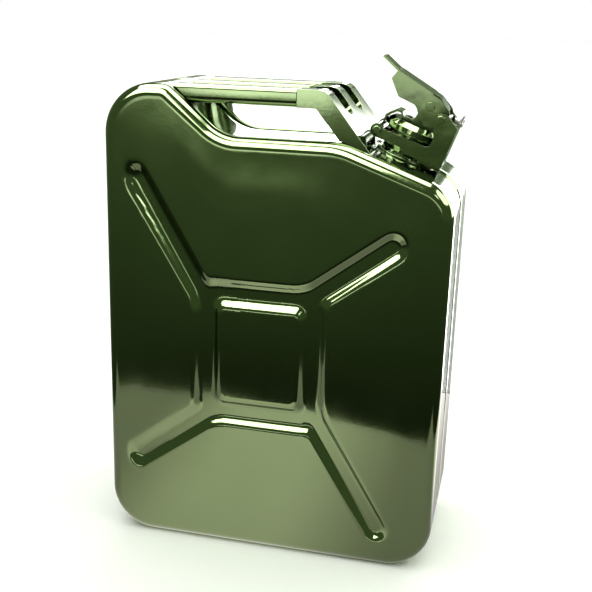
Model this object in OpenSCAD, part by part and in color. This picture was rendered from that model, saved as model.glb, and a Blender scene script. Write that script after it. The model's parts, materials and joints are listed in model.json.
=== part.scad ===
// Pressed-steel fuel can with a triple handle and a cam-lever closure.
// Frame: X along the long side, spout towards +X. Y is the depth, front panel at -Y. Z is up.
// The origin is the middle of the base.

/* [Body] */
// Width over the two narrow ends
body_w = 345; // [335:5:355]
// Depth over the two pressed panels
body_d = 165; // [155:5:175]
// Height to the top of the hump and of the handles
body_h = 476; // [470:1:480]
// Radius of the pressed edge round each panel
edge_r = 12; // [9:1:13]
// Thickness of the shell sheet
sheet = 1; // [0.8:0.1:1.2]
// Height of the recess below the handles
recess_z = 430; // [425:1:435]
// Slope of the shoulder that carries the neck, in degrees
shoulder_tilt = 20; // [18:1:22]
// Depth of the channel round the middle seam
seam_depth = 6; // [4:0.5:7]

/* [Panel pressing] */
// Half width of the square plateau
plateau_w = 44; // [40:1:48]
// Half height of the square plateau
plateau_h = 52.5; // [48:0.5:56]
// Width of the pressed channels
rib_w = 21; // [16:1:24]
// Depth of the pressed channels
rib_depth = 5; // [3:0.5:6]

/* [Handles] */
// Width of one handle bar
bar_w = 26; // [22:1:28]
// Height of one handle bar
bar_h = 17; // [14:1:18]
// Distance between the middles of neighbouring bars
bar_pitch = 55; // [50:1:55]
// Sheet thickness of the handles
bar_t = 2; // [1.5:0.25:2.5]

/* [Neck and closure] */
// Inner radius of the neck
neck_r = 23.5; // [22:0.5:24]
// Wall thickness of the neck
neck_t = 1.5; // [1:0.25:2]
// Height of the neck's lip over the shoulder
lip_h = 26; // [25.5:0.5:26.5]

/* [Hidden] */
$fn = 48;

paint = [0.20, 0.27, 0.14];
steel = [0.62, 0.63, 0.62];
rubber = [0.08, 0.08, 0.08];

run_gap = 0.06;       // radial clearance of a part that turns or slides on a pin
move_gap = 0.3;       // least gap between parts that move past each other
seam_gap = 0.4;       // each shell's rim to the seam plane
seam_floor = 3;       // half width of the seam channel's floor
seam_mouth = 7;       // half width of the seam channel's mouth
arc_step = 10;        // degrees between points on a rounded corner
edge_steps = 5;

// ---------- the can's outline, seen from the front ----------
half_w = body_w / 2;
half_d = body_d / 2;
shoulder_x = 63;      // where the recess floor turns down into the shoulder
recess_x = -52;       // where the recess floor turns up into the hump
hump_x = -107.3;      // where the hump's top turns down into the recess
shoulder_z = recess_z - (half_w - shoulder_x) * tan(shoulder_tilt);
can_corners = [[-half_w, 0, 46], [half_w, 0, 46], [half_w, shoulder_z, 38], [shoulder_x, recess_z, 80],
               [recess_x, recess_z, 45], [hump_x, body_h, 16], [-half_w, body_h, 50]];

function unit(v) = v / norm(v);
function left_of(v) = [-v.y, v.x];
function flat(c) = [c.x, c.y];
function edge_dir(c, i) = unit(flat(c[(i + 1) % len(c)]) - flat(c[(i + len(c)) % len(c)]));
function turn_sign(a, b) = a.x * b.y - a.y * b.x >= 0 ? 1 : -1;

// The corner list moved inwards by d: each corner slides along its bisector and its radius follows.
function moved_in(c, d) = [for (i = [0 : len(c) - 1])
    let (a = edge_dir(c, i - 1 + len(c)), b = edge_dir(c, i), n1 = left_of(a), n2 = left_of(b))
    concat(flat(c[i]) + (n1 + n2) * d / (1 + n1 * n2), max(0, c[i].z - turn_sign(a, b) * d))];

// Points of a closed outline whose corners [x, y, radius] are rounded.
function rounded(c) = [for (i = [0 : len(c) - 1])
    let (a = edge_dir(c, i - 1 + len(c)), b = edge_dir(c, i), s = turn_sign(a, b), r = c[i].z,
         turn = acos(min(1, a * b)), steps = r == 0 ? 0 : max(2, ceil(turn / arc_step - 0.01)),
         centre = flat(c[i]) - a * r * tan(turn / 2) + s * r * left_of(a), from = -s * left_of(a))
    for (k = [0 : steps])
        let (t = steps == 0 ? 0 : s * turn * k / steps)
        centre + r * [from.x * cos(t) - from.y * sin(t), from.x * sin(t) + from.y * cos(t)]];

// ---------- placing ----------
neck_x = 114;
neck_z = recess_z - (neck_x - shoulder_x) * tan(shoulder_tilt);

// The neck's own frame: X down the shoulder towards the outside, Z along the neck.
module on_neck() {
    translate([neck_x, 0, neck_z]) rotate([0, shoulder_tilt, 0]) children();
}

// A flat shape in X and Z, made solid between two depths.
module slab(y0, y1) {
    translate([0, y1, 0]) rotate([90, 0, 0]) linear_extrude(y1 - y0) children();
}

// The same slab on the front and on the rear side.
module slab_pair(y0, y1) {
    slab(y0, y1) children();
    slab(-y1, -y0) children();
}

// A round bar along Y.
module rod(r, y0, y1) {
    translate([0, y0, 0]) rotate([-90, 0, 0]) cylinder(r = r, h = y1 - y0);
}

// A rectangle with rounded corners, from x0 to x1 and r to both sides of the X axis.
module round_ended(x0, x1, half, r0, r1) {
    polygon(rounded([[x0, -half, r0], [x1, -half, r1], [x1, half, r1], [x0, half, r0]]));
}

// A straight bar with round ends, in the plane.
module capsule(a, b, r) {
    d = b - a;
    translate(a) rotate(atan2(d.y, d.x)) round_ended(-r, norm(d) + r, r, 0.9 * r, 0.9 * r);
}

// ---------- shells ----------
function edge_arc(r, y, from, to) = [for (k = [0 : edge_steps])
    let (a = from + (to - from) * k / edge_steps)
    [edge_r - r * sin(a), y + r * (1 - cos(a))]];

// Inset and depth of each ring of the skin: outside from the panel to the seam, then back inside.
skin = concat(edge_arc(edge_r, -half_d, 0, 90),
              [[0, -seam_mouth], [seam_depth, -seam_floor], [seam_depth, -seam_gap],
               [seam_depth + sheet, -seam_gap], [seam_depth + sheet, -seam_floor - sheet / 2],
               [sheet, -seam_mouth - sheet / 2]],
              edge_arc(edge_r - sheet, -half_d + sheet, 90, 0));

module tray() {
    n = len(rounded(can_corners));
    points = [for (p = skin) for (q = rounded(moved_in(can_corners, p.x))) [q.x, p.y, q.y]];
    last = len(skin) - 1;
    sides = [for (j = [0 : last - 1]) for (i = [0 : n - 1])
             [j * n + i, j * n + (i + 1) % n, (j + 1) * n + (i + 1) % n, (j + 1) * n + i]];
    outer_panel = [for (i = [n - 1 : -1 : 0]) i];
    inner_panel = [for (i = [0 : n - 1]) last * n + i];
    polyhedron(points, concat([outer_panel], sides, [inner_panel]));
}

panel_mid = [-10, 213.5];
steep_arm = [-127, 172.5];      // end of the upper left arm, from the panel's middle
shallow_arm = [128, 122.5];     // end of the upper right arm

// Plan of the pressed channels: a ring round the plateau and four arms.
module rib_plan(grow = 0) {
    mid_w = plateau_w + rib_w / 2;
    mid_h = plateau_h + rib_w / 2;
    out_w = plateau_w + rib_w + grow;
    in_w = plateau_w - grow;
    translate(panel_mid) {
        difference() {
            round_ended(-out_w, out_w, plateau_h + rib_w + grow, 22 + grow, 22 + grow);
            round_ended(-in_w, in_w, plateau_h - grow, 8 - grow, 8 - grow);
        }
        for (s = [-1, 1]) {
            capsule(s * [-mid_w - 1, mid_h - 8], s * steep_arm, rib_w / 2 - 1 + grow);
            capsule(s * [mid_w - 10, mid_h - 3], s * shallow_arm, rib_w / 2 + grow);
        }
    }
}

module neck_hole() {
    on_neck() translate([0, 0, -40]) cylinder(r = neck_r + neck_t, h = 80);
}

module shell() {
    difference() {
        union() {
            tray();
            slab(-half_d, -half_d + rib_depth + sheet) rib_plan(sheet);
        }
        slab(-half_d - 1, -half_d + rib_depth) rib_plan();
        neck_hole();
    }
}

module front_shell() {
    color(paint) shell();
}

module rear_shell() {
    color(paint) mirror([0, 1, 0]) shell();
}

module seam_weld() {
    color(paint) difference() {
        slab(-seam_gap, seam_gap) difference() {
            polygon(rounded(moved_in(can_corners, seam_depth - 0.6)));
            polygon(rounded(moved_in(can_corners, seam_depth + sheet + 0.5)));
        }
        neck_hole();
    }
}

// ---------- handles ----------
bar_end = 18;                       // where the bars meet the saddle
bend_x = 45;                        // outer corner of the saddle's bend
foot_x = 90;                        // where the saddle's top reaches the shoulder
foot_z = recess_z - (foot_x - shoulder_x) * tan(shoulder_tilt);
leg = unit([foot_x - bend_x, foot_z - body_h]);
leg_out = [-leg.y, leg.x];
hump_slope = unit([recess_x - hump_x, recess_z - body_h]);
slot_w = bar_pitch - bar_w;

bar_corners = [[-bar_w / 2, -bar_h, 6], [bar_w / 2, -bar_h, 6], [bar_w / 2, 0, 4], [-bar_w / 2, 0, 4]];

module bar_section(inset) {
    polygon(rounded(moved_in(bar_corners, inset)));
}

// A hollow bar from the hump's slope to the saddle.
module handle_bar(y) {
    run_x = hump_slope.x / hump_slope.y;
    color(paint) intersection() {
        translate([hump_x - 10, y, body_h]) rotate([90, 0, 90]) difference() {
            linear_extrude(bar_end - hump_x + 10) bar_section(0);
            translate([0, 0, -1]) linear_extrude(bar_end - hump_x + 12) bar_section(bar_t);
        }
        slab(y - bar_w, y + bar_w)
            polygon([[hump_x - run_x, body_h + 1], [bar_end, body_h + 1], [bar_end, body_h - bar_h - 1],
                     [hump_x - run_x * (bar_h + 1), body_h - bar_h - 1]]);
    }
}

module front_handle() handle_bar(-bar_pitch);
module middle_handle() handle_bar(0);
module rear_handle() handle_bar(bar_pitch);

// Side view of the saddle: the bars' height, bent down to the shoulder.
module saddle_side() {
    inner_x = bend_x - bar_h * (1 - cos(atan2(-leg.y, leg.x))) / sin(atan2(-leg.y, leg.x));
    low_x = inner_x + (body_h - bar_h - recess_z) * leg.x / -leg.y;
    polygon(rounded([[foot_x, foot_z, 0], [bend_x, body_h, 14], [bar_end, body_h, 0],
                     [bar_end, body_h - bar_h, 0], [inner_x, body_h - bar_h, 4],
                     [low_x, recess_z, 0], [shoulder_x, recess_z, 0]]));
}

slot_run = 16;                      // from the bend down to the middle of a slot's round end

module handle_saddle() {
    half = bar_pitch + bar_w / 2;
    drop = [-bar_t * (1 - leg_out.y) / leg_out.x, -bar_t];
    slot_end = [bend_x, body_h] + slot_run * leg;
    below = [bend_x, body_h] + (slot_run + slot_w / 2 + bar_t) * leg;
    color(paint) difference() {
        slab(-half, half) saddle_side();
        for (y = [-bar_pitch, 0, bar_pitch])
            slab(y - bar_w / 2 + bar_t, y + bar_w / 2 - bar_t) translate(drop) saddle_side();
        slab(-half + bar_t, half - bar_t) intersection() {
            translate(drop) saddle_side();
            polygon([below + 9 * leg_out, below + 90 * leg,
                     below + 90 * leg - 60 * leg_out, below - 60 * leg_out]);
        }
        for (y = [-bar_pitch / 2, bar_pitch / 2])
            translate([slot_end.x, y, slot_end.y]) rotate([0, atan2(leg_out.x, leg_out.y), 0])
                translate([0, 0, -60]) linear_extrude(100)
                    round_ended(-60, slot_w / 2, slot_w / 2, 0, 0.45 * slot_w);
        on_neck() translate([0, 0, -20]) cylinder(r = flange_r + 1, h = 60);
    }
}

// ---------- neck, in its own frame ----------
flange_r = 31;
neck_out = neck_r + neck_t;
lip_r = 2.2;
inner_drop = 20;                    // how far the neck reaches into the can
vent_r = 3;
vent_t = 1;
vent_h = -15.2;                      // the vent's height on the neck, below the shoulder
hinge = [-33, 16.5];                // cap hinge
pivot = [5, 56];                    // lever pivot, on the cap
pivot_r = 2.8;
catch = [19.5, 49];                 // catch pins, on the bracket
catch_r = 2.4;
cheek_in = 25.5;                    // inner face of the bracket's sides
cheek_out = 27.5;
plate_in = 36;                      // the bracket's outer plate
plate_out = 38;
shelf_h = 47;                       // top of the bracket's shelf
shelf_in = 27.5;                    // its inner edge, clear of the opening cap
lock_h = 51;                        // locking pin's height
lock_r = 2.5;
hinge_r = 2.5;
vent_z = neck_z + 24 * sin(shoulder_tilt) + vent_h * cos(shoulder_tilt);

module neck_tube() {
    color(paint) difference() {
        on_neck() {
            rotate_extrude() translate([neck_r, -inner_drop]) square([neck_t, inner_drop + lip_h - lip_r]);
            rotate_extrude() translate([neck_r + lip_r, lip_h - lip_r]) circle(lip_r);
        }
        translate([neck_x - 60, 0, vent_z]) rotate([0, 90, 0]) cylinder(r = vent_r, h = 60);
    }
}

module neck_flange() {
    color(paint) on_neck() rotate_extrude()
        polygon([[neck_out, 0], [flange_r, 0], [flange_r, 1.6], [neck_out + 2.5, 2], [neck_out + 0.8, 4.5],
                 [neck_out, 4.5]]);
}

// Side view of one side of the bracket: hinge ear, band round the neck, and the catch wing.
module bracket_side() {
    translate(hinge) circle(6.5);
    polygon(rounded([[hinge.x, 10, 0], [-6, 10, 2], [-2, 6, 5], [14, 6, 5], [17, 3.5, 2], [plate_out, 3.5, 0],
                     [plate_out, shelf_h, 3], [catch.x + 5, catch.y + 6, 5], [catch.x - 5, catch.y + 6, 5],
                     [catch.x - 5, 45, 6], [19.5, 32, 12], [20.5, 20, 5], [hinge.x, 20, 0]]));
}

module neck_bracket() {
    color(paint) on_neck() difference() {
        union() {
            rotate_extrude() translate([neck_out, 8]) square([2, 12]);
            slab_pair(cheek_in, cheek_out) bracket_side();
            translate([plate_in, -cheek_out, 3.5]) cube([plate_out - plate_in, 2 * cheek_out, shelf_h - 3.5]);
            translate([shelf_in, -9, shelf_h - 2]) cube([plate_in - shelf_in, 18, 2]);
        }
        translate([hinge.x, 0, hinge.y]) rod(hinge_r, -40, 40);
        translate([catch.x, 0, catch.y]) rod(catch_r, -40, 40);
    }
}

module catch_pins() {
    color(steel) on_neck() for (side = [0, 1]) {
        translate([catch.x, 0, catch.y]) mirror([0, side, 0]) {
            rod(catch_r, lever_in, cheek_out);
            rod(4, cheek_out, cheek_out + 1.5);
        }
    }
}

module hinge_pin() {
    color(steel) on_neck() translate([hinge.x, 0, hinge.y]) {
        rod(hinge_r, -cheek_out, cheek_out);
        rod(4.2, cheek_out, cheek_out + 2);
        rod(4.2, -cheek_out - 2, -cheek_out);
    }
}

module lock_pin_guide() {
    color(paint) on_neck() difference() {
        translate([shelf_in, -4.5, shelf_h]) cube([3, 9, 8]);
        translate([20, 0, lock_h]) rotate([0, 90, 0]) cylinder(r = lock_r + run_gap, h = 20);
    }
}

// Breather from the neck to the air pocket under the hump.
vent_bend = 14;
vent_x = -120;

module vent_tube() {
    color(steel) difference() {
        union() {
            translate([vent_x + vent_bend, 0, vent_z]) rotate([0, 90, 0])
                cylinder(r = vent_r + vent_t, h = neck_x - vent_x - vent_bend - 18);
            translate([vent_x + vent_bend, 0, vent_z + vent_bend]) rotate([90, 0, 0])
                rotate([0, 0, 180]) rotate_extrude(angle = 90) translate([vent_bend, 0]) circle(vent_r + vent_t);
            translate([vent_x, 0, vent_z + vent_bend]) cylinder(r = vent_r + vent_t, h = 34);
        }
        translate([vent_x + vent_bend, 0, vent_z]) rotate([0, 90, 0])
            cylinder(r = vent_r, h = neck_x - vent_x);
        translate([vent_x + vent_bend, 0, vent_z + vent_bend]) rotate([90, 0, 0])
            rotate([0, 0, 180]) rotate_extrude(angle = 90) translate([vent_bend, 0]) circle(vent_r);
        translate([vent_x, 0, vent_z + vent_bend]) cylinder(r = vent_r, h = 40);
        neck_hole();
    }
}

// Strap that hangs the breather from the seam under the recess.
module vent_clip() {
    top = recess_z - seam_depth - sheet - 0.5;
    color(steel) translate([-20, 0, 0]) difference() {
        translate([-5, -vent_r - vent_t - 1.2, vent_z - vent_r - vent_t - 1.2])
            cube([10, 2 * (vent_r + vent_t + 1.2), top - vent_z + vent_r + vent_t + 1.2]);
        translate([-10, 0, vent_z]) rotate([0, 90, 0]) cylinder(r = vent_r + vent_t, h = 20);
    }
}

// ---------- cap ----------
cap_r = 30.4;
cap_t = 1.6;
cap_in = cap_r - cap_t;
seal_h = lip_h + move_gap;          // underside of the gasket
seal_t = 3;
plate_t = 1;
spring_h = 2.1;
plate_h = seal_h + seal_t;          // underside of the seal plate
cap_top = plate_h + plate_t + spring_h + cap_t;
arm_t = 2;

module cap_rivet_spots() {
    for (x = [-11, -2.8, 16.5]) for (y = [-8.5, 8.5]) translate([x, y, 0]) children();
}

module cap_rivet_holes() {
    cap_rivet_spots() translate([0, 0, cap_top - 5]) cylinder(r = 1.6, h = 10);
}

module cap_shell() {
    color(paint) on_neck() difference() {
        rotate_extrude()
            polygon([[0, cap_top - cap_t], [24.4, cap_top - cap_t], [cap_in, plate_h], [cap_in, lip_h - 1],
                     [cap_r, lip_h - 1], [cap_r, plate_h + 0.3], [25.4, cap_top], [0, cap_top]]);
        cap_rivet_holes();
    }
}

module cap_gasket() {
    color(rubber) on_neck() rotate_extrude() translate([21.5, seal_h]) square([cap_in - 21.7, seal_t]);
}

module seal_plate() {
    color(steel) on_neck() translate([0, 0, plate_h]) cylinder(r = 25.5, h = plate_t);
}

// Spring washer that presses the seal plate down.
module pressure_spring() {
    low = plate_h + plate_t;
    high = low + spring_h;
    color(steel) on_neck() rotate_extrude()
        polygon([[20, low], [22, low], [14, high], [12, high]]);
}

module hinge_arm() {
    color(paint) on_neck() difference() {
        union() {
            slab(-13, 13)
                polygon([[-cap_r, 18], [-cap_r, 31], [-22.8, 38.5], [-19, 38.5], [-17, cap_top], [-6, cap_top],
                         [-6, cap_top + arm_t], [-15.5, cap_top + arm_t], [-17.8, 38.5 + arm_t],
                         [-23.6, 38.5 + arm_t], [-cap_r - arm_t, 31.8], [-cap_r - arm_t, 18]]);
            translate([hinge.x, 0, hinge.y]) rod(5.5, -cheek_in + move_gap, cheek_in - move_gap);
        }
        translate([hinge.x, 0, hinge.y]) rod(hinge_r + run_gap, -40, 40);
        cap_rivet_holes();
    }
}

bridge_in = 15.5;
bridge_out = 17.5;
lever_in = 18;
lever_out = 20;

// Yoke on top of the cap that carries the lever's pivot.
module cap_bridge() {
    color(paint) on_neck() difference() {
        union() {
            translate([-5.5, -bridge_out, cap_top]) cube([27, 2 * bridge_out, arm_t]);
            slab_pair(bridge_in, bridge_out) {
                translate(pivot) circle(7);
                polygon([[-5.5, cap_top], [21.5, cap_top], [pivot.x + 7, pivot.y], [pivot.x - 7, pivot.y]]);
            }
        }
        translate([pivot.x, 0, pivot.y]) rod(pivot_r, -40, 40);
        cap_rivet_holes();
    }
}

module cap_rivets() {
    color(steel) on_neck() cap_rivet_spots() {
        translate([0, 0, cap_top - cap_t]) cylinder(r = 1.6, h = cap_t + arm_t);
        translate([0, 0, cap_top + arm_t]) cylinder(r = 2.4, h = 1);
    }
}

head_in = lever_out + move_gap;     // inner face of the lever pin's heads

module lever_pin() {
    color(steel) on_neck() translate([pivot.x, 0, pivot.y]) {
        rod(pivot_r, -head_in, head_in);
        rod(4.2, head_in, head_in + 2.5);
        rod(4.2, -head_in - 2.5, -head_in);
    }
}

// ---------- lever ----------
crown = [11, 66.4];                 // where the lever's top turns down
crest = [-37, 75.5];                // where the thumb tab starts
tab_tip = [-55.6, 82.6];
curl_h = 54.8;                      // lower edge of the lever's turned-down end

cap_open = 85;                      // how far the cap opens, and the lever with it
lever_open = 95;
cap_per_lever = cap_open / lever_open;

// Where the catch pins are, seen from the lever, once the lever has turned by a degrees.
function turned(p, a) = [p.x * cos(a) - p.y * sin(a), p.x * sin(a) + p.y * cos(a)];
function catch_at(a) = pivot + turned(hinge + turned(catch - hinge, -a * cap_per_lever) - pivot, a);

module lever_side() {
    difference() {
        polygon(rounded([[crest.x, crest.y - 1, 1], [-40, 66, 2], [-27, 52.5, 3], [-8, 51.5, 8], [-2, 43, 4],
                         [6, 36.5, 5], [14.5, 37.5, 4], [21.5, 42.8, 3], [25.4, 50, 4], [25, 57.5, 5],
                         [crown.x, crown.y - 1, 4]]));
        for (a = [0 : 6 : 24])
            capsule(catch_at(a), catch_at(a + 6), catch_r + move_gap);
    }
}

module cam_lever() {
    color(paint) on_neck() difference() {
        union() {
            slab_pair(lever_in, lever_out) lever_side();
            slab(-lever_out, lever_out) polygon([crest, crest - [0.4, 2], [3, 66], [3, 67.9]]);
            slab(-15.2, 15.2) polygon(rounded([[3, 67.9, 0], [3, 66, 0], [crown.x - 1, 64.6, 3], [20.6, 56.8, 1],
                                               [20.6, curl_h, 0], [22.6, curl_h, 0], [22.4, 57.8, 2],
                                               [crown.x, crown.y, 5]]));
            slab(-13, 13) polygon([crest + [0.5, 0], crest - [0.4, 2], tab_tip - [0.7, 1.9], tab_tip]);
        }
        translate([pivot.x, 0, pivot.y]) rod(pivot_r + run_gap, -40, 40);
    }
}

// ---------- locking pin ----------
head_x = 35.3;
ring_x = head_x + 2.5;
ring_r = 7;
ring_wire = 0.9;

module lock_pin() {
    color(steel) on_neck() difference() {
        union() {
            translate([24.4, 0, lock_h]) rotate([0, 90, 0]) cylinder(r = lock_r, h = head_x - 24);
            translate([shelf_in - move_gap - 1.6, 0, lock_h]) rotate([0, 90, 0])
                cylinder(r = curl_h - lock_h - 0.4, h = 1.6);
            translate([head_x, -3.7, lock_h - 3.7]) cube([5, 7.4, 7.4]);
        }
        translate([ring_x, 0, lock_h]) rod(1.6, -10, 10);
    }
}

// Wire ring in the pin's head, to pull it by.
module pull_ring() {
    color(steel) on_neck() translate([ring_x, 0, lock_h + ring_r - 0.7]) rotate([0, 90, 0])
        rotate_extrude() translate([ring_r, 0]) circle(ring_wire);
}

front_shell();
rear_shell();
seam_weld();
front_handle();
middle_handle();
rear_handle();
handle_saddle();
neck_tube();
neck_flange();
neck_bracket();
catch_pins();
hinge_pin();
lock_pin_guide();
vent_tube();
vent_clip();
cap_shell();
cap_gasket();
seal_plate();
pressure_spring();
hinge_arm();
cap_bridge();
cap_rivets();
lever_pin();
cam_lever();
lock_pin();
pull_ring();
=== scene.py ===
"""Looks of the jerry can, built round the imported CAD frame."""

import bpy
import json
import math
import numpy as np
from mathutils import Matrix, Vector


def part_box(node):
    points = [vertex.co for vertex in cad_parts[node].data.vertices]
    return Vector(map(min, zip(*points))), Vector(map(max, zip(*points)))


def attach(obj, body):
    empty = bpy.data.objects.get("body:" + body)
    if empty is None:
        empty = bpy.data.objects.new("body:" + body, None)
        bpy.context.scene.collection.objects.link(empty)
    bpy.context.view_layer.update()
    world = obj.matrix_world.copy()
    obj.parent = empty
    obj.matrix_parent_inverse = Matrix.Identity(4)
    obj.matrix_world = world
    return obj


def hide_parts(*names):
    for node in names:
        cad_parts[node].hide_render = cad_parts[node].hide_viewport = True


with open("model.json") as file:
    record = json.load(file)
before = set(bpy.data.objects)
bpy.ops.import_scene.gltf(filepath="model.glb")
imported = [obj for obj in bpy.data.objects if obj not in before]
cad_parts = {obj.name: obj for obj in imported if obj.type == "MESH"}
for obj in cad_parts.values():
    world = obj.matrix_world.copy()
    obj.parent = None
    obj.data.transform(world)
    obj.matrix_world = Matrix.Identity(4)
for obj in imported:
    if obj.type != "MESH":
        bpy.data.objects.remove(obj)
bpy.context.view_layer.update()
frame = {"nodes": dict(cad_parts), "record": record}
scene = bpy.context.scene

MM = 0.001

# ---------- sizes of the can, in millimetres ----------
shell_low, shell_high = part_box("front_shell")
HALF_W = shell_high.x / MM
HALF_D = -shell_low.y / MM
BODY_H = shell_high.z / MM
EDGE_R = 12.0                      # pressed edge round each panel
SHEET = 1.0

# The outline seen from the front: x, z and radius of each corner.
RECESS_Z = 430.0                   # floor of the recess below the handles
SHOULDER_X = 63.0                  # where the recess turns down into the shoulder
RECESS_X = -52.0                   # where the recess turns up into the hump
HUMP_X = -107.3                    # where the hump's top turns down into the recess
TILT = math.radians(20)            # slope of the shoulder
CORNERS = [
    (-HALF_W, 0, 46), (HALF_W, 0, 46),
    (HALF_W, RECESS_Z - (HALF_W - SHOULDER_X) * math.tan(TILT), 38),
    (SHOULDER_X, RECESS_Z, 80), (RECESS_X, RECESS_Z, 45),
    (HUMP_X, BODY_H, 16), (-HALF_W, BODY_H, 50),
]

NECK_X = 114.0
NECK_FOOT = np.array([NECK_X, 0, RECESS_Z - (NECK_X - SHOULDER_X) * math.tan(TILT)])
NECK_AXIS = np.array([math.sin(TILT), 0, math.cos(TILT)])
NECK_HOLE_R = 27.0                 # its edge is hidden under the weld flange
NECK_HOLE_DEPTH = 30.0

# The channel round the middle seam, from the seam plane outwards.
SEAM_GAP = 0.4                     # each shell's rim to the seam plane
SEAM_DEPTH = 6.0
SEAM_FLOOR = 2.0                   # half width of the flat floor
SEAM_MOUTH = 9.0                   # half width of the mouth
FILLET_RISE, FILLET_RUN = 1.2, 1.9        # the curve between floor and side
MOUTH_POWER = 1.9                  # how sharply the mouth rounds over

# The pressing of the panel.
PANEL_MID = np.array([-10.0, 213.5])
PLATEAU = np.array([44.0, 52.5])   # half size of the square plateau
PLATEAU_R = 9.0
RIB_W = 21.0                       # width of the pressed channels
RIB_DEPTH = 5.0
RING_R = 22.0                      # outer corners of the channel round the plateau
WALL_W = 9.0                       # width of a channel's sloping wall
ARM_BLEND = 8.0                    # how softly the arms run into the ring
STEEP_ARM = np.array([-127.0, 172.5])     # ends of the upper arms, from the panel's middle
SHALLOW_ARM = np.array([128.0, 122.5])
CROWN = 3.0                        # how far the panel swells out
CROWN_MID = np.array([0.0, 225.0])
CROWN_REACH = np.array([115.0, 125.0])
CROWN_EDGE = 0.2                   # share of the way in over which the swelling starts

# How finely the shells are drawn.
PER_ARC = 20                       # points on each corner of the outline
PER_SIDE = [70, 60, 26, 12, 8, 6, 60]     # points between each corner and the next
RINGS = 84                         # rings from the pressed edge to the panel's middle


# ---------- node helpers ----------
def node(tree, kind, inputs=None, **props):
    made = tree.nodes.new(kind)
    for key, value in props.items():
        setattr(made, key, value)
    for key, value in (inputs or {}).items():
        if isinstance(value, bpy.types.NodeSocket):
            tree.links.new(value, made.inputs[key])
        else:
            made.inputs[key].default_value = value
    return made


def maths(tree, operation, *values):
    return node(tree, "ShaderNodeMath", dict(enumerate(values)), operation=operation).outputs[0]


def noise(tree, coords, scale, detail):
    sockets = {"Vector": coords, "Scale": scale, "Detail": detail}
    return node(tree, "ShaderNodeTexNoise", sockets).outputs["Fac"]


def remap(tree, value, lo, hi, to_lo, to_hi, kind="LINEAR"):
    sockets = {"Value": value, "From Min": lo, "From Max": hi, "To Min": to_lo, "To Max": to_hi}
    return node(tree, "ShaderNodeMapRange", sockets, interpolation_type=kind).outputs["Result"]


def mottle(tree, coords, scale, detail, to_lo=0.0, to_hi=1.0):
    """Noise spread over the range that is asked for."""
    return remap(tree, noise(tree, coords, scale, detail), 0.3, 0.7, to_lo, to_hi)


def mixed(tree, factor, a, b):
    return node(tree, "ShaderNodeMix", {0: factor, 6: a, 7: b}, data_type="RGBA").outputs[2]


def bump(tree, height, strength, **more):
    sockets = {"Height": height, "Strength": strength, "Distance": 0.001, **more}
    return node(tree, "ShaderNodeBump", sockets).outputs["Normal"]


def material(name, base):
    """A material with a Principled shader; base holds what is the same all over."""
    made = bpy.data.materials.new(name)
    made.use_nodes = True
    tree = made.node_tree
    tree.nodes.clear()
    shader = node(tree, "ShaderNodeBsdfPrincipled", base)
    node(tree, "ShaderNodeOutputMaterial", {"Surface": shader.outputs["BSDF"]})
    coords = node(tree, "ShaderNodeTexCoord").outputs["Object"]
    return made, tree, shader, coords


# ---------- materials ----------
def enamel(name, waves, wave_size):
    """Glossy olive enamel that lets the metal's shine through, on a sheet that is a little wavy, with
    painted shade in its creases and nooks.
    """
    made, tree, shader, coords = material(name, {
        "Metallic": 1.0, "Coat Roughness": 0.02, "Coat IOR": 1.5, "IOR": 1.5})
    paint = mixed(tree, mottle(tree, coords, 7.0, 3.0), (0.158, 0.218, 0.09, 1), (0.178, 0.24, 0.105, 1))
    # Painted shade: ambient occlusion darkens the base colour to near black and thins the coat in
    # creases, nooks and between parts.
    openness = node(tree, "ShaderNodeAmbientOcclusion", {"Distance": 0.012}, samples=8).outputs["AO"]
    painted_shade_mix = remap(tree, openness, 0.25, 0.85, 0.25, 1.0)
    tree.links.new(mixed(tree, painted_shade_mix, (0.01, 0.014, 0.006, 1), paint), shader.inputs["Base Color"])
    tree.links.new(remap(tree, openness, 0.25, 0.85, 0.0, 0.7), shader.inputs["Coat Weight"])
    tree.links.new(mottle(tree, coords, 30.0, 4.0, 0.07, 0.11), shader.inputs["Roughness"])
    dents = bump(tree, noise(tree, coords, 1 / wave_size, 1.5), waves)
    peel = bump(tree, noise(tree, coords, 220.0, 1.0), 0.012, Normal=dents)
    tree.links.new(peel, shader.inputs["Normal"])
    return made


def steel():
    made, tree, shader, coords = material("zinc_steel", {"Metallic": 1.0})
    zinc = mixed(tree, mottle(tree, coords, 60.0, 4.0), (0.42, 0.42, 0.40, 1), (0.58, 0.58, 0.55, 1))
    tree.links.new(zinc, shader.inputs["Base Color"])
    tree.links.new(mottle(tree, coords, 120.0, 3.0, 0.18, 0.34), shader.inputs["Roughness"])
    return made


def rubber():
    made, tree, shader, coords = material("seal_rubber", {"IOR": 1.5})
    black = mixed(tree, mottle(tree, coords, 90.0, 3.0), (0.012, 0.012, 0.012, 1), (0.03, 0.03, 0.028, 1))
    tree.links.new(black, shader.inputs["Base Color"])
    tree.links.new(mottle(tree, coords, 300.0, 2.0, 0.55, 0.75), shader.inputs["Roughness"])
    return made


FINISH = {"green_paint": enamel("olive_enamel", 0.22, 0.077), "steel": steel(), "rubber": rubber()}
SMALL_ENAMEL = enamel("olive_enamel_small", 0.3, 0.03)
SMALL_PARTS = {"neck_bracket", "cam_lever", "hinge_arm", "cap_bridge", "cap_shell", "neck_flange",
               "lock_pin_guide"}


# ---------- shells ----------
def unit(v):
    return v / np.hypot(*v)


def left_of(v):
    return np.array([-v[1], v[0]])


def turn_sign(a, b):
    return 1 if a[0] * b[1] - a[1] * b[0] >= 0 else -1


def corner_at(corners, i):
    """A corner's place and the directions into it and out of it."""
    here = np.array(corners[i][:2], float)
    a = unit(here - np.array(corners[i - 1][:2]))
    b = unit(np.array(corners[(i + 1) % len(corners)][:2]) - here)
    return here, a, b


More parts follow.
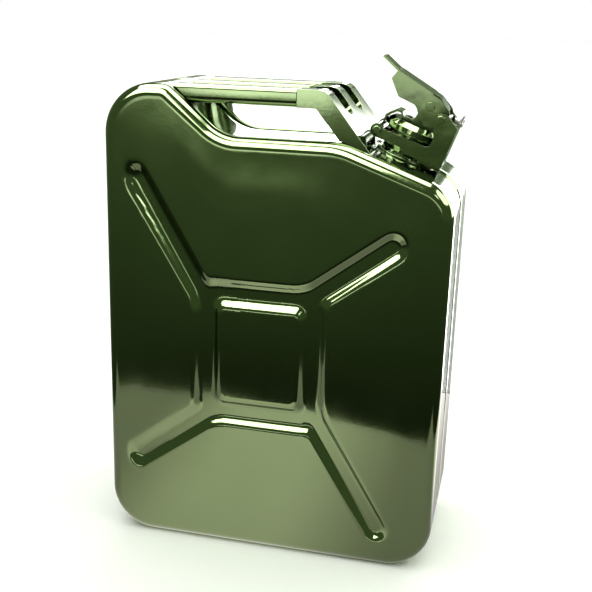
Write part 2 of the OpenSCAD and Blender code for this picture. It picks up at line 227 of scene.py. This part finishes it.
def moved_in(corners, d):
    """The corner list moved inwards by d; radii follow."""
    out = []
    for i, (_, _, r) in enumerate(corners):
        here, a, b = corner_at(corners, i)
        p = here + (left_of(a) + left_of(b)) * d / (1 + left_of(a) @ left_of(b))
        out.append((p[0], p[1], max(0.0, r - turn_sign(a, b) * d)))
    return out


def outline(corners):
    """Points round a closed outline: always the same number on a corner and on a side."""
    arcs = []
    for i, (_, _, r) in enumerate(corners):
        here, a, b = corner_at(corners, i)
        side = turn_sign(a, b)
        turn = math.acos(max(-1, min(1, a @ b)))
        centre = here - a * r * math.tan(turn / 2) + side * r * left_of(a)
        start = -side * left_of(a)
        t = side * turn * np.linspace(0, 1, PER_ARC)[:, None]
        arcs.append(centre + r * (np.cos(t) * start + np.sin(t) * left_of(start)))
    rows = []
    for i, arc in enumerate(arcs):
        after = arcs[(i + 1) % len(arcs)][0]
        s = np.linspace(0, 1, PER_SIDE[i] + 2)[1:-1, None]
        rows += [arc, arc[-1] * (1 - s) + after * s]
    return np.vstack(rows)


def smooth01(t):
    t = np.clip(t, 0, 1)
    return t * t * (3 - 2 * t)


def smooth_min(a, b, k):
    h = np.clip(0.5 + 0.5 * (b - a) / k, 0, 1)
    return b * (1 - h) + a * h - k * h * (1 - h)


def box_distance(p, half, radius):
    q = np.abs(p) - half + radius
    return np.minimum(q.max(1), 0) + np.hypot(*np.maximum(q, 0).T) - radius


def arm_distance(p, a, b, radius):
    along = np.clip(((p - a) @ (b - a)) / ((b - a) @ (b - a)), 0, 1)[:, None]
    return np.hypot(*(p - a - along * (b - a)).T) - radius


def channel_depth(p):
    """Depth of the pressed channels: a ring round the plateau and four arms."""
    p = p - PANEL_MID
    mid = PLATEAU + RIB_W / 2
    steep_start = mid * (-1, 1) + (-1, -8)
    shallow_start = mid - (10, 3)
    off_plateau = -box_distance(p, PLATEAU, PLATEAU_R)
    d = np.maximum(box_distance(p, PLATEAU + RIB_W, RING_R), off_plateau)
    for s in (-1, 1):
        d = smooth_min(d, arm_distance(p, s * steep_start, s * STEEP_ARM, RIB_W / 2 - 1), ARM_BLEND)
        d = smooth_min(d, arm_distance(p, s * shallow_start, s * SHALLOW_ARM, RIB_W / 2), ARM_BLEND)
    return RIB_DEPTH * smooth01(0.5 - np.maximum(d, off_plateau) / WALL_W)


def panel_y(q, rise):
    """Y of the panel at points in X and Z: the channels go in and the middle swells out."""
    swell = CROWN * np.exp(-(((q - CROWN_MID) / CROWN_REACH) ** 2).sum(1))
    return -HALF_D + channel_depth(q) - swell * rise


def side_profile():
    """Inset and Y of each ring, from the weld over the seam channel and the side to the flat panel."""
    wall_inset = SEAM_DEPTH - FILLET_RISE
    wall_y = SEAM_FLOOR + FILLET_RUN
    rows = [(SEAM_DEPTH, -SEAM_GAP), (SEAM_DEPTH, -SEAM_FLOOR)]
    for t in np.linspace(0, 1, 5):      # starts with a second ring in the same place: a thin light line
        rows.append((SEAM_DEPTH - FILLET_RISE * t * t, -SEAM_FLOOR - FILLET_RUN * t))
    for t in np.linspace(0, 1, 7)[1:]:
        rows.append((wall_inset * (1 - t) ** MOUTH_POWER, -wall_y - (SEAM_MOUTH - wall_y) * t))
    rows += [(0.0, y) for y in np.linspace(-SEAM_MOUTH, -HALF_D + EDGE_R, 16)[1:-1]]
    for a in np.linspace(0, math.pi / 2, 15):
        rows.append((EDGE_R * (1 - math.cos(a)), -HALF_D + EDGE_R * (1 - math.sin(a))))
    return rows


def ring(q, y):
    return np.stack([q[:, 0], np.broadcast_to(y, len(q)), q[:, 1]], 1)


def front_skin():
    """Vertices and faces of the front half's outer surface."""
    rings = [ring(outline(moved_in(CORNERS, inset)), y) for inset, y in side_profile()]
    edge = outline(moved_in(CORNERS, EDGE_R))
    for t in np.linspace(1, 0, RINGS + 1)[1:-1]:
        q = PANEL_MID + (edge - PANEL_MID) * t
        rings.append(ring(q, panel_y(q, smooth01((1 - t) / CROWN_EDGE))))
    n = len(edge)
    last = (len(rings) - 1) * n
    faces = []
    for j in range(0, last, n):
        faces += [(j + i, j + (i + 1) % n, j + n + (i + 1) % n, j + n + i) for i in range(n)]
    faces += [(last + i, last + (i + 1) % n, last + n) for i in range(n)]
    middle = PANEL_MID[None]
    verts = np.vstack(rings + [ring(middle, panel_y(middle, 1.0))])
    return verts, faces


def open_at_neck(verts, faces):
    """The same surface without the neck's hole, and without the vertices that only the hole used."""
    rel = verts - NECK_FOOT
    near = np.linalg.norm(np.cross(rel, NECK_AXIS), axis=1) < NECK_HOLE_R
    gone = near & (rel @ NECK_AXIS > -NECK_HOLE_DEPTH)
    kept = [f for f in faces if not all(gone[i] for i in f)]
    used = sorted({i for f in kept for i in f})
    place = {old: new for new, old in enumerate(used)}
    return verts[used], [[place[i] for i in f] for f in kept]


def shell(name, mirror):
    """One pressed half, as a smooth thin sheet in place of its CAD node."""
    verts, faces = front_skin()
    if mirror:
        verts = verts * (1, -1, 1)
        faces = [f[::-1] for f in faces]
    verts, faces = open_at_neck(verts, faces)
    mesh = bpy.data.meshes.new(name + "_skin")
    mesh.from_pydata((verts * MM).tolist(), [], faces)
    mesh.polygons.foreach_set("use_smooth", [True] * len(mesh.polygons))
    mesh.materials.append(FINISH["green_paint"])
    obj = bpy.data.objects.new(name + "_skin", mesh)
    scene.collection.objects.link(obj)
    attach(obj, "can")
    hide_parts(name)
    thick = obj.modifiers.new("sheet", "SOLIDIFY")
    thick.thickness = SHEET * MM
    thick.offset = -1


shell("front_shell", mirror=False)
shell("rear_shell", mirror=True)

# ---------- CAD nodes that stay ----------
BEVEL_MM = {"handle_saddle": 1.6, "front_handle": 0.5, "middle_handle": 0.5, "rear_handle": 0.5,
            "cam_lever": 0.8, "neck_bracket": 0.9, "hinge_arm": 0.8, "cap_bridge": 0.8,
            "catch_pins": 0.9, "hinge_pin": 1.2, "cap_rivets": 0.6, "lock_pin": 0.6,
            "lock_pin_guide": 0.6}
PLAIN_BEVEL_MM = 0.35


def dress(name, obj, slot):
    """A finish, rounded edges and smooth shading for a CAD node, by modifiers only."""
    mesh = obj.data
    mesh.materials.clear()
    mesh.materials.append(SMALL_ENAMEL if name in SMALL_PARTS else FINISH[slot])
    if "custom_normal" in mesh.attributes:
        mesh.attributes.remove(mesh.attributes["custom_normal"])
    mesh.polygons.foreach_set("use_smooth", [True] * len(mesh.polygons))
    weld = obj.modifiers.new("weld", "WELD")
    weld.merge_threshold = 0.002 * MM
    flat = obj.modifiers.new("flat", "DECIMATE")
    flat.decimate_type = "DISSOLVE"
    flat.angle_limit = math.radians(1.5)
    bevel = obj.modifiers.new("edges", "BEVEL")
    bevel.width = BEVEL_MM.get(name, PLAIN_BEVEL_MM) * MM
    bevel.segments = 3
    bevel.limit_method = "ANGLE"
    bevel.angle_limit = math.radians(38)
    normals = obj.modifiers.new("normals", "WEIGHTED_NORMAL")
    normals.weight = 90


slots = {s["node"]: s["material_slot"] for s in frame["record"]["subparts"]}
for node_name, cad_obj in frame["nodes"].items():
    if not cad_obj.hide_render:
        dress(node_name, cad_obj, slots[node_name])

# ---------- floor ----------
scene.view_settings.view_transform = "Standard"
scene.view_settings.look = "None"


def sheet_of_paper(name, corners, z, paper):
    mesh = bpy.data.meshes.new(name)
    mesh.from_pydata([(x, y, z) for x, y in corners], [], [(0, 1, 2, 3)])
    mesh.materials.append(paper)
    obj = bpy.data.objects.new(name, mesh)
    scene.collection.objects.link(obj)
    return obj


def lit_paper():
    """The floor as the enamel mirrors it: a pool of light, and a flare behind the can's right end."""
    made = bpy.data.materials.new("lit_paper")
    made.use_nodes = True
    tree = made.node_tree
    tree.nodes.clear()
    coords = node(tree, "ShaderNodeTexCoord").outputs["Object"]
    spot = node(tree, "ShaderNodeSeparateXYZ", {"Vector": coords}).outputs
    aside = maths(tree, "ABSOLUTE", maths(tree, "SUBTRACT", spot["X"], -0.06))
    pool = remap(tree, aside, 0.04, 0.20, 1.0, 0.42, "SMOOTHSTEP")
    depth = remap(tree, spot["Y"], -0.40, -0.08, 1.4, 1.1)
    to_the_right = remap(tree, spot["X"], 0.185, 0.23, 0.0, 1.5)
    to_the_back = remap(tree, spot["Y"], -0.02, 0.10, 0.0, 1.0)
    flare = maths(tree, "MULTIPLY", to_the_right, to_the_back)
    # Painted light: the sheet glows by itself, brightest in the pool and the flare, and the enamel shows
    # this as reflections.
    power = maths(tree, "ADD", maths(tree, "MULTIPLY", depth, pool), flare)
    glow = node(tree, "ShaderNodeEmission", {"Color": (1, 0.95, 0.93, 1), "Strength": power})
    node(tree, "ShaderNodeOutputMaterial", {"Surface": glow.outputs[0]})
    return made


white_paper = material("paper", {"Base Color": (0.9, 0.9, 0.88, 1), "Roughness": 0.7})[0]
floor = sheet_of_paper("floor", [(-8, -6), (8, -6), (8, 30), (-8, 30)], 0, white_paper)
floor.visible_glossy = False
floor.visible_shadow = False

# Only the enamel's shine sees this one. Its front edge runs askew to the can.
near_floor = sheet_of_paper("near_floor", [(-0.5, -0.48), (0.5, -0.36), (0.5, 0.42), (-0.5, 0.42)],
                            -0.0005, lit_paper())
near_floor.visible_camera = False
near_floor.visible_shadow = False
near_floor.visible_diffuse = False

# ---------- surroundings ----------
BEHIND, AHEAD, RIGHT = (0.3, 2.0), (-2.0, -0.2), (-0.5, 0.1)     # ranges of a direction's Y

# White cards far away, as windows of directions: ranges of Y, X and Z, then the radiance.
CARDS = [
    (AHEAD, (-0.40, 0.25), (-0.073, 0.0), 1.5),
    (AHEAD, (-0.325, -0.21), (-0.086, -0.06), 2.5),
    (BEHIND, (0.02, 0.13), (-0.36, -0.06), 0.33),
    (BEHIND, (-0.34, -0.12), (0.10, 0.6), 6.0),
    (BEHIND, (-0.09, 0.12), (0.22, 0.6), 6.0),
    (BEHIND, (0.15, 2.0), (-0.05, 0.6), 6.0),
    (RIGHT, (0.6, 2.0), (0.35, 0.8), 6.0),
]
CARD_EDGE = {"X": 0.03, "Y": 0.1, "Z": 0.012}     # how softly a card ends


def studio():
    """White to the camera. Elsewhere dark green, with white cards that only the shine sees."""
    world = bpy.data.worlds.new("studio")
    world.use_nodes = True
    tree = world.node_tree
    tree.nodes.clear()
    ray = node(tree, "ShaderNodeLightPath").outputs
    coords = node(tree, "ShaderNodeTexCoord").outputs["Generated"]
    towards = node(tree, "ShaderNodeSeparateXYZ", {"Vector": coords}).outputs

    def between(axis, lo, hi):
        """1 for directions between lo and hi on that axis, falling to 0 outside them."""
        soft = CARD_EDGE[axis]
        rising = remap(tree, towards[axis], lo - soft, lo, 0.0, 1.0)
        falling = remap(tree, towards[axis], hi, hi + soft, 1.0, 0.0)
        return maths(tree, "MULTIPLY", rising, falling)

    lit = 0.0
    for y_range, x_range, z_range, radiance in CARDS:
        window = maths(tree, "MULTIPLY", between("Y", *y_range), between("X", *x_range))
        window = maths(tree, "MULTIPLY", window, between("Z", *z_range))
        lit = maths(tree, "ADD", lit, maths(tree, "MULTIPLY", window, radiance))
    shine = maths(tree, "MULTIPLY", lit, ray["Is Glossy Ray"])
    level = remap(tree, towards["Z"], -0.40, -0.10, 0.035, 0.19)
    dark = node(tree, "ShaderNodeBackground", {"Color": (0.72, 1.0, 0.52, 1), "Strength": level})
    cards = node(tree, "ShaderNodeBackground", {"Color": (1, 1, 1, 1), "Strength": shine})
    both = node(tree, "ShaderNodeAddShader", {0: dark.outputs[0], 1: cards.outputs[0]})
    white = node(tree, "ShaderNodeBackground", {"Color": (1, 1, 1, 1), "Strength": 1.0})
    seen = node(tree, "ShaderNodeMixShader", {0: ray["Is Camera Ray"], 1: both.outputs[0],
                                              2: white.outputs[0]})
    node(tree, "ShaderNodeOutputWorld", {"Surface": seen.outputs[0]})
    return world


scene.world = studio()


# ---------- lights ----------
def softbox(name, centre, aim, size, radiance):
    """A rectangular light of that radiance, seen in the enamel's shine only."""
    data = bpy.data.lights.new(name, "AREA")
    data.shape = "RECTANGLE"
    data.size, data.size_y = size
    data.energy = radiance * math.pi * size[0] * size[1]
    obj = bpy.data.objects.new(name, data)
    scene.collection.objects.link(obj)
    obj.location = centre
    obj.rotation_euler = (Vector(aim) - Vector(centre)).to_track_quat("-Z", "Y").to_euler()
    obj.visible_camera = False
    obj.visible_diffuse = False


def soft_sky(energy, spread):
    """A wide light from above for the floor and the soft shadow, not seen in the shine."""
    data = bpy.data.lights.new("sky", "SUN")
    data.energy = energy
    data.angle = math.radians(spread)
    obj = bpy.data.objects.new("sky", data)
    scene.collection.objects.link(obj)
    obj.visible_glossy = False


softbox("top_box", (-0.3, 0.2, 2.2), (-0.3, 0.2, 0), (2.4, 1.4), 8)
softbox("front_box", (-0.7, -1.5, 2.0), (0, 0, 0.2), (2.6, 1.5), 8)
softbox("right_box", (1.25, -1.83, 1.47), (0, 0, 0.3), (0.25, 0.35), 5)
softbox("side_card", (0.55, 0.95, 0.02), (0.1, 0, 0.1), (0.55, 0.95), 8)
soft_sky(3.6, 100)

# ---------- camera ----------
SENSOR_MM, LENS_MM = 36, 58.173
AZIMUTH, ELEVATION, ROLL = map(math.radians, (13.15, 16.28, 1.78))
DISTANCE, TARGET = 1.0157, Vector((0.00746, 0, 0.25591))


def fitted_camera():
    """The camera on its sphere round the target, rolled about its own axis."""
    back = Vector((math.sin(AZIMUTH) * math.cos(ELEVATION), -math.cos(AZIMUTH) * math.cos(ELEVATION),
                   math.sin(ELEVATION)))
    right = Vector((math.cos(AZIMUTH), math.sin(AZIMUTH), 0))
    rolled = right * math.cos(ROLL) + back.cross(right) * math.sin(ROLL)
    data = bpy.data.cameras.new("camera")
    data.sensor_width = SENSOR_MM
    data.lens = LENS_MM
    data.clip_start = 0.01
    obj = bpy.data.objects.new("camera", data)
    scene.collection.objects.link(obj)
    turn = Matrix((rolled, back.cross(rolled), back)).transposed()
    obj.matrix_world = Matrix.Translation(TARGET + back * DISTANCE) @ turn.to_4x4()
    return obj


scene.camera = fitted_camera()
